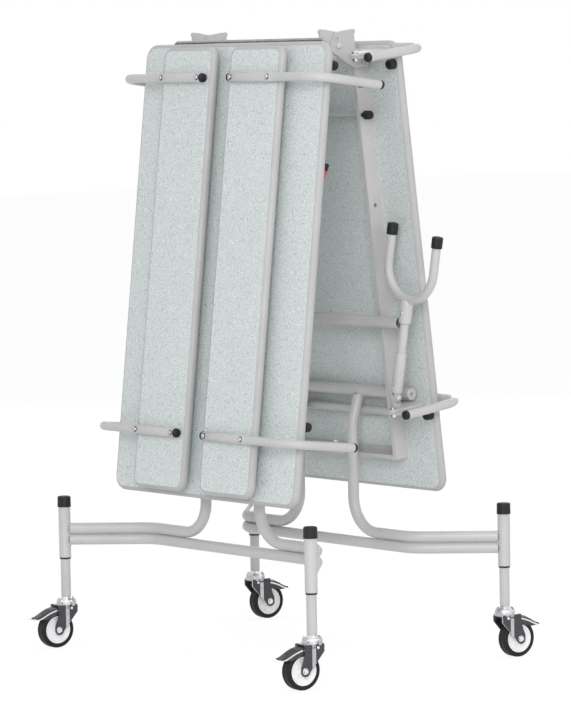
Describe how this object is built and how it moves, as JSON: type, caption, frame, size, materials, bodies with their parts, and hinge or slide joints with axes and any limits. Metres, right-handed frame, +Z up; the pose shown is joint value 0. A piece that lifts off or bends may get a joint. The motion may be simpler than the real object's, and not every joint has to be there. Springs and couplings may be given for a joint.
{
  "type": "folding bench table",
  "caption": "Mobile folding table with attached bench seats, folded upright on a caster frame; the benches turn over its edges.",
  "frame": {"origin": "centre of the footprint on the floor, with the table folded", "axes": "+X across the table's width, +Y along its length towards the rear half, +Z up"},
  "size_m": [1.1038, 0.9226, 1.6852],
  "materials": {
    "laminate": "speckled pale mint laminate, satin",
    "powder_coat": "light warm grey powder coat, fine texture",
    "zinc_plate": "bright zinc plating",
    "black_rubber": "matt black",
    "tyre_rubber": "satin black",
    "white_nylon": "white moulded nylon",
    "dark_nylon": "dark grey moulded nylon",
    "red_sleeve": "red dipped plastic"
  },
  "bodies": {
    "front_base": {"front_foot_tube": "powder_coat", "front_uprights": "powder_coat", "front_posts": "powder_coat", "front_post_caps": "black_rubber"},
    "rear_base": {"rear_foot_tube": "powder_coat", "rear_uprights": "powder_coat", "rear_posts": "powder_coat", "rear_post_caps": "black_rubber"},
    "front_half": {"front_top": "laminate", "front_rails": "powder_coat", "front_cross_members": "powder_coat", "front_hinge_plates": "powder_coat", "front_arm_brackets": "powder_coat", "front_hardware": "zinc_plate", "front_buffers": "black_rubber"},
    "rear_half": {"rear_top": "laminate", "rear_rails": "powder_coat", "rear_cross_members": "powder_coat", "rear_hinge_plates": "powder_coat", "rear_arm_brackets": "powder_coat", "rear_hardware": "zinc_plate", "rear_buffers": "black_rubber"},
    "lock_bar": {"lock_bar": "zinc_plate"},
    "release_lever": {"release_lever": "red_sleeve"},
    "front_left_bench_set": {"front_left_bench": "laminate", "front_left_bench_arms": "powder_coat", "front_left_arm_caps": "black_rubber", "front_left_arm_bushes": "dark_nylon"},
    "front_right_bench_set": {"front_right_bench": "laminate", "front_right_bench_arms": "powder_coat", "front_right_arm_caps": "black_rubber", "front_right_arm_bushes": "dark_nylon"},
    "front_left_caster": {"front_left_fork": "zinc_plate"},
    "front_left_wheel": {"front_left_tyre": "tyre_rubber", "front_left_hub": "white_nylon"},
    "front_left_brake": {"front_left_pedal": "dark_nylon"},
    "front_right_caster": {"front_right_fork": "zinc_plate"},
    "front_right_wheel": {"front_right_tyre": "tyre_rubber", "front_right_hub": "white_nylon"},
    "front_right_brake": {"front_right_pedal": "dark_nylon"},
    "rear_left_bench_set": {"rear_left_bench": "laminate", "rear_left_bench_arms": "powder_coat", "rear_left_arm_caps": "black_rubber", "rear_left_arm_bushes": "dark_nylon"},
    "rear_right_bench_set": {"rear_right_bench": "laminate", "rear_right_bench_arms": "powder_coat", "rear_right_arm_caps": "black_rubber", "rear_right_arm_bushes": "dark_nylon"},
    "prop_leg": {"rear_prop": "powder_coat", "rear_prop_tips": "black_rubber"},
    "rear_left_caster": {"rear_left_fork": "zinc_plate"},
    "rear_left_wheel": {"rear_left_tyre": "tyre_rubber", "rear_left_hub": "white_nylon"},
    "rear_left_brake": {"rear_left_pedal": "dark_nylon"},
    "rear_right_caster": {"rear_right_fork": "zinc_plate"},
    "rear_right_wheel": {"rear_right_tyre": "tyre_rubber", "rear_right_hub": "white_nylon"},
    "rear_right_brake": {"rear_right_pedal": "dark_nylon"}
  },
  "joints": [
    {"name": "main_fold", "type": "hinge", "parent": "front_base", "child": "front_half", "pos_m": [0, -0.19641, 0.70784], "axis": [-1, 0, 0], "range_deg": [0, 83.1]},
    {"name": "centre_fold", "type": "hinge", "parent": "front_half", "child": "rear_half", "pos_m": [0, 0, 1.64], "axis": [1, 0, 0], "range_deg": [0, 166.2]},
    {"name": "rear_base_fold", "type": "hinge", "parent": "rear_half", "child": "rear_base", "pos_m": [0, 0.19641, 0.70784], "axis": [-1, 0, 0], "range_deg": [0, 83.1]},
    {"name": "front_left_bench_turn", "type": "hinge", "parent": "front_half", "child": "front_left_bench_set", "pos_m": [-0.352, -0.0556, 1.04235], "axis": [0, -0.1201, -0.9928], "range_deg": [0, 90]},
    {"name": "front_right_bench_turn", "type": "hinge", "parent": "front_half", "child": "front_right_bench_set", "pos_m": [0.352, -0.0556, 1.04235], "axis": [0, 0.1201, 0.9928], "range_deg": [0, 90]},
    {"name": "rear_left_bench_turn", "type": "hinge", "parent": "rear_half", "child": "rear_left_bench_set", "pos_m": [-0.352, 0.0556, 1.04235], "axis": [0, -0.1201, 0.9928], "range_deg": [0, 90]},
    {"name": "rear_right_bench_turn", "type": "hinge", "parent": "rear_half", "child": "rear_right_bench_set", "pos_m": [0.352, 0.0556, 1.04235], "axis": [0, 0.1201, -0.9928], "range_deg": [0, 90]},
    {"name": "prop_swing", "type": "hinge", "parent": "rear_half", "child": "prop_leg", "pos_m": [0.325, 0.13592, 0.69992], "axis": [1, 0, 0], "range_deg": [0, 68]},
    {"name": "lever_pull", "type": "hinge", "parent": "front_half", "child": "release_lever", "pos_m": [0.272, -0.14189, 1.13338], "axis": [-1, 0, 0], "range_deg": [0, 15]},
    {"name": "lock_lift", "type": "hinge", "parent": "front_half", "child": "lock_bar", "pos_m": [0, -0.09153, 1.57452], "axis": [1, 0, 0], "range_deg": [0, 8]},
    {"name": "front_left_swivel", "type": "hinge", "parent": "front_base", "child": "front_left_caster", "pos_m": [-0.518, -0.342, 0.13], "axis": [0, 0, 1], "continuous": true},
    {"name": "front_left_roll", "type": "hinge", "parent": "front_left_caster", "child": "front_left_wheel", "pos_m": [-0.52301, -0.37765, 0.05], "axis": [0.9903, -0.1392, 0], "continuous": true},
    {"name": "front_left_brake_press", "type": "hinge", "parent": "front_left_caster", "child": "front_left_brake", "pos_m": [-0.51744, -0.33804, 0.108], "axis": [0.9903, -0.1392, 0], "range_deg": [0, 4]},
    {"name": "front_right_swivel", "type": "hinge", "parent": "front_base", "child": "front_right_caster", "pos_m": [0.518, -0.342, 0.13], "axis": [0, 0, 1], "continuous": true},
    {"name": "front_right_roll", "type": "hinge", "parent": "front_right_caster", "child": "front_right_wheel", "pos_m": [0.51299, -0.37765, 0.05], "axis": [0.9903, -0.1392, 0], "continuous": true},
    {"name": "front_right_brake_press", "type": "hinge", "parent": "front_right_caster", "child": "front_right_brake", "pos_m": [0.51856, -0.33804, 0.108], "axis": [0.9903, -0.1392, 0], "range_deg": [0, 4]},
    {"name": "rear_left_swivel", "type": "hinge", "parent": "rear_base", "child": "rear_left_caster", "pos_m": [-0.518, 0.342, 0.13], "axis": [0, 0, 1], "continuous": true},
    {"name": "rear_left_roll", "type": "hinge", "parent": "rear_left_caster", "child": "rear_left_wheel", "pos_m": [-0.51299, 0.37765, 0.05], "axis": [-0.9903, 0.1392, 0], "continuous": true},
    {"name": "rear_left_brake_press", "type": "hinge", "parent": "rear_left_caster", "child": "rear_left_brake", "pos_m": [-0.51856, 0.33804, 0.108], "axis": [-0.9903, 0.1392, 0], "range_deg": [0, 4]},
    {"name": "rear_right_swivel", "type": "hinge", "parent": "rear_base", "child": "rear_right_caster", "pos_m": [0.518, 0.342, 0.13], "axis": [0, 0, 1], "continuous": true},
    {"name": "rear_right_roll", "type": "hinge", "parent": "rear_right_caster", "child": "rear_right_wheel", "pos_m": [0.52301, 0.37765, 0.05], "axis": [-0.9903, 0.1392, 0], "continuous": true},
    {"name": "rear_right_brake_press", "type": "hinge", "parent": "rear_right_caster", "child": "rear_right_brake", "pos_m": [0.51744, 0.33804, 0.108], "axis": [-0.9903, 0.1392, 0], "range_deg": [0, 4]}
  ],
  "couplings": [
    {"joint": "centre_fold", "follows": "main_fold", "ratio": 2},
    {"joint": "rear_base_fold", "follows": "main_fold", "ratio": 1},
    {"joint": "prop_swing", "follows": "main_fold", "ratio": 0.8},
    {"joint": "lock_lift", "follows": "lever_pull", "ratio": 0.5}
  ]
}
